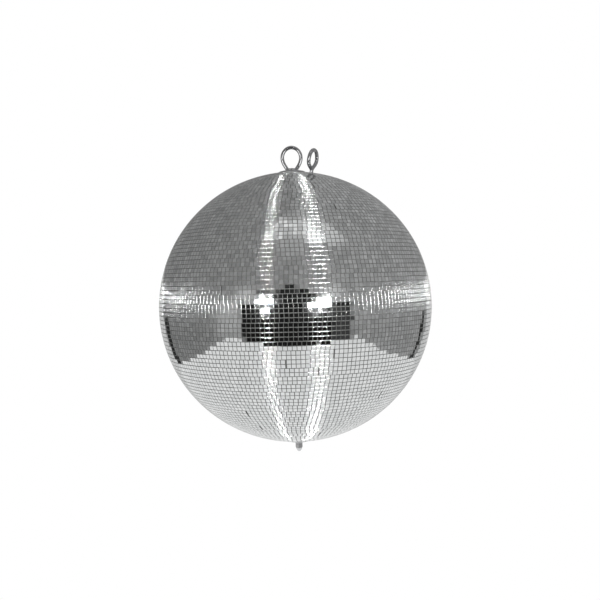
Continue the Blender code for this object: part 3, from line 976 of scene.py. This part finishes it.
def sheet_profile():
    """Distance back, height and glow along the sheet, from its front edge to its top."""
    floor = CENTRE.z - STUDIO_DROP
    foot = SHEET_BACK - SHEET_BEND
    profile = [(-SHEET_FRONT, floor, FLOOR_FRONT_GLOW), (foot, floor, FLOOR_BACK_GLOW)]
    for step in range(1, SHEET_BEND_STEPS + 1):
        part = step / SHEET_BEND_STEPS
        turn = math.pi / 2 * part
        glow = FLOOR_BACK_GLOW + (BACKDROP_GLOW - FLOOR_BACK_GLOW) * part
        height = floor + SHEET_BEND * (1 - math.cos(turn))
        profile.append((foot + SHEET_BEND * math.sin(turn), height, glow))
    profile.append((SHEET_BACK, CENTRE.z + SHEET_TOP, BACKDROP_GLOW))
    return profile


def make_sheet():
    """A white floor, wider in front, that sweeps up behind the ball."""
    profile = sheet_profile()
    points, faces, glows = [], [], []
    for y, z, glow in profile:
        share = (y + SHEET_FRONT) / (SHEET_BACK + SHEET_FRONT)
        left = SHEET_FRONT_LEFT + (SHEET_BACK_HALF - SHEET_FRONT_LEFT) * share
        right = SHEET_FRONT_RIGHT + (SHEET_BACK_HALF - SHEET_FRONT_RIGHT) * share
        points += [(-left, y, z), (right, y, z)]
        glows += [glow, glow]
    for k in range(len(profile) - 1):
        faces.append((2 * k, 2 * k + 1, 2 * k + 3, 2 * k + 2))
    sheet = mesh_piece("studio_sheet", points, faces, [sheet_material()])
    sheet.data.attributes.new("glow", "FLOAT", "POINT").data.foreach_set("value", glows)


class World:
    """The studio beyond the sheet, by azimuth from the camera's side and elevation."""

    def __init__(self):
        world = bpy.data.worlds.new("studio")
        bpy.context.scene.world = world
        world.use_nodes = True
        self.tree = world.node_tree
        self.tree.nodes.clear()
        ray = add_node(self.tree, "ShaderNodeTexCoord").outputs["Generated"]
        axes = add_node(self.tree, "ShaderNodeSeparateXYZ", [("Vector", ray)])
        x, y, z = axes.outputs
        ahead = self.math("MULTIPLY", y, -1.0)
        self.azimuth = self.math("ARCTAN2", x, ahead)
        self.side = self.math("ABSOLUTE", self.azimuth)
        self.elevation = self.math("ARCSINE", z)

    def math(self, operation, *values):
        node = self.tree.nodes.new("ShaderNodeMath")
        node.operation = operation
        for socket, value in zip(node.inputs, values, strict=False):
            if isinstance(value, bpy.types.NodeSocket):
                self.tree.links.new(value, socket)
            else:
                socket.default_value = value
        return node.outputs[0]

    def above(self, value, edge, soft):
        """0 below edge and 1 above it, in degrees, over a soft width."""
        low, high = math.radians(edge - soft), math.radians(edge + soft)
        inputs = [("Value", value), ("From Min", low), ("From Max", high)]
        node = add_node(
            self.tree, "ShaderNodeMapRange", inputs, interpolation_type="SMOOTHSTEP"
        )
        return node.outputs["Result"]

    def mottle(self):
        """Unevenness of the room's walls, about 1."""
        ray = add_node(self.tree, "ShaderNodeTexCoord").outputs["Generated"]
        inputs = [("Vector", ray), ("Scale", MOTTLE_SCALE), ("Detail", 3.0), ("Roughness", 0.7)]
        uneven = add_node(self.tree, "ShaderNodeTexNoise", inputs).outputs["Fac"]
        inputs = [("Value", uneven), ("From Min", 0.38), ("From Max", 0.62)]
        inputs += [("To Min", MOTTLE_RANGE[0]), ("To Max", MOTTLE_RANGE[1])]
        return add_node(self.tree, "ShaderNodeMapRange", inputs).outputs["Result"]

    def window(self, azimuth, sides, heights, soft):
        """1 inside a window of azimuths and elevations, in degrees."""
        past_left = self.above(azimuth, sides[0], soft)
        past_right = self.above(azimuth, sides[1], soft)
        over = self.above(self.elevation, heights[0], soft)
        under = self.above(self.elevation, heights[1], soft)
        wide = self.math("SUBTRACT", past_left, past_right)
        tall = self.math("SUBTRACT", over, under)
        return self.math("MULTIPLY", wide, tall)

    def paint(self, light, mask, value):
        """Light, with value where the mask is 1."""
        keep = self.math("SUBTRACT", 1.0, mask)
        return self.math("ADD", self.math("MULTIPLY", light, keep), self.math("MULTIPLY", mask, value))


def make_world():
    """The room beyond the sheet, with soft-edged windows of brighter and darker wall.

    Each is its azimuths, its elevations and its edge's softness, in degrees, and its light.
    """
    world = World()
    right = world.above(world.azimuth, 0.0, 60.0)
    ceiling = world.above(world.elevation, 8.0, 10.0)
    light = world.math("MULTIPLY_ADD", ceiling, CEILING_GLOW, ROOM_GLOW)
    light = world.math("MULTIPLY_ADD", right, RIGHT_GLOW, light)
    light = world.math("MULTIPLY", light, world.mottle())
    windows = (
        ((-40, 66), (58, 80), 5.0, 0.56),  # ceiling panels
        ((-16, 14), (45, 60), 4.0, 0.40),
        ((38, 62), (48, 70), 4.0, 0.62),
        ((-36, -29), (56, 76), 2.0, 0.75),
        ((-22, -12), (59, 78), 2.0, 0.85),
        ((-4, 7), (60, 79), 2.0, 0.80),
        ((17, 40), (53, 73), 3.0, 1.05),
        ((-66, -44), (-18, 8), 6.0, 0.42),  # walls lit beside the lamps
        ((-48, -32), (7, 16), 4.0, 0.50),
        ((22, 38), (8, 16), 4.0, 0.55),
        ((-44, 45), (-60, 5), 0.8, 0.009),  # dark room behind the camera
        ((30, 46), (-60, 0), 3.0, 0.05),
        ((-30, 20), (4, 14), 0.8, 0.012),
        ((-10, 2), (12, 19), 0.8, 0.02),
        ((-139, -131), (-27, -4), 0.7, 0.02),  # gaps beside the sheet's back
        ((128, 134), (-23, -4), 0.7, 0.02),
    )
    for sides, heights, soft, value in windows:
        light = world.paint(light, world.window(world.azimuth, sides, heights, soft), value)
    white = (1.0, 1.0, 1.0, 1.0)
    light = camera_white(world.tree, light)
    inputs = [("Color", white), ("Strength", light)]
    background = add_node(world.tree, "ShaderNodeBackground", inputs)
    out = world.tree.nodes.new("ShaderNodeOutputWorld")
    world.tree.links.new(background.outputs[0], out.inputs["Surface"])


def make_lamp(name, angles, radiance):
    """An oval lamp facing the ball: azimuth, elevation and the half angles it fills, in degrees."""
    azimuth, elevation, half_width, half_height = (math.radians(angle) for angle in angles)
    data = bpy.data.lights.new(name, "AREA")
    data.shape = "ELLIPSE"
    data.size = 2 * LAMP_DISTANCE * math.tan(half_width)
    data.size_y = 2 * LAMP_DISTANCE * math.tan(half_height)
    data.energy = radiance * math.pi * math.pi / 4 * data.size * data.size_y
    lamp = link(name, data)
    out = direction(azimuth, elevation)
    face = out.to_track_quat("Z", "Y").to_matrix().to_4x4()
    lamp.matrix_world = Matrix.Translation(CENTRE + out * LAMP_DISTANCE) @ face
    lamp.visible_camera = False
    return lamp


def make_lamps():
    """Strong lamps beside the camera for the mirrors, soft ones for the rest, and a fill."""
    strong = (
        ("lamp_left", (-21.5, 5.8, 5.2, 2.3)),
        ("lamp_left_low", (-21.5, -1.5, 1.4, 1.4)),
        ("lamp_right", (17.0, 1.5, 7.2, 1.9)),
        ("lamp_right_high", (21.5, 6.3, 4.0, 2.2)),
    )
    soft = (("soft_left", (-28.0, 6.0, 9.0, 14.0)), ("soft_right", (28.0, 6.0, 9.0, 14.0)))
    mirrors = bpy.data.collections.new("lit_mirrors")
    hardware = bpy.data.collections.new("lit_hardware")
    for piece in bpy.context.scene.objects:
        if piece.name.startswith("mirrors_"):
            mirrors.objects.link(piece)
        elif piece.type == "MESH" and not piece.name.startswith("studio"):
            hardware.objects.link(piece)
    for name, angles in strong:
        lamp = make_lamp(name, angles, LAMP_RADIANCE)
        lamp.visible_diffuse = False
        lamp.light_linking.receiver_collection = mirrors
    for name, angles in soft:
        lamp = make_lamp(name, angles, SOFT_RADIANCE)
        lamp.light_linking.receiver_collection = hardware
    fill = make_lamp("fill", (0.0, 20.0, 25.0, 15.0), FILL_RADIANCE)
    fill.visible_glossy = False


def make_studio():
    bpy.context.scene.view_settings.view_transform = "Standard"
    make_sheet()
    make_world()
    make_lamps()


def make_looks():
    return {
        "mirror": mirror_material(),
        "edge": mirror_edge_material(),
        "bed": bed_material(),
        "shell": shell_material(),
        "steel": metal_material("rolled_steel", (0.42, 0.42, 0.43), (0.6, 0.6, 0.61), 0.34, 900.0),
        "zinc": metal_material("zinc_plate", (0.55, 0.56, 0.58), (0.72, 0.73, 0.75), 0.26, 700.0),
        "bright": metal_material("bright_plate", (0.66, 0.67, 0.68), (0.82, 0.82, 0.83), 0.12, 500.0),
        "eye": metal_material("eye_plate", (0.36, 0.36, 0.37), (0.52, 0.52, 0.53), 0.17, 600.0),
        "nylon": nylon_material(),
    }


def dress_nodes(looks):
    """Give each CAD node that is still shown its procedural material."""
    kept = {
        "shell": ["upper_shell", "lower_shell", "equator_ring"],
        "steel": ["top_inner_plate", "bottom_inner_plate", "axle_tube"],
        "zinc": ["safety_eye_washer", "safety_eye_nut"],
        "nylon": ["top_bush", "bottom_bush"],
    }
    for look, names in kept.items():
        for name in names:
            node = frame["nodes"][name]
            for slot in node.material_slots:
                slot.material = looks[look]


make_camera()
looks = make_looks()
make_mirrors(looks)
make_hardware(looks)
dress_nodes(looks)
make_studio()
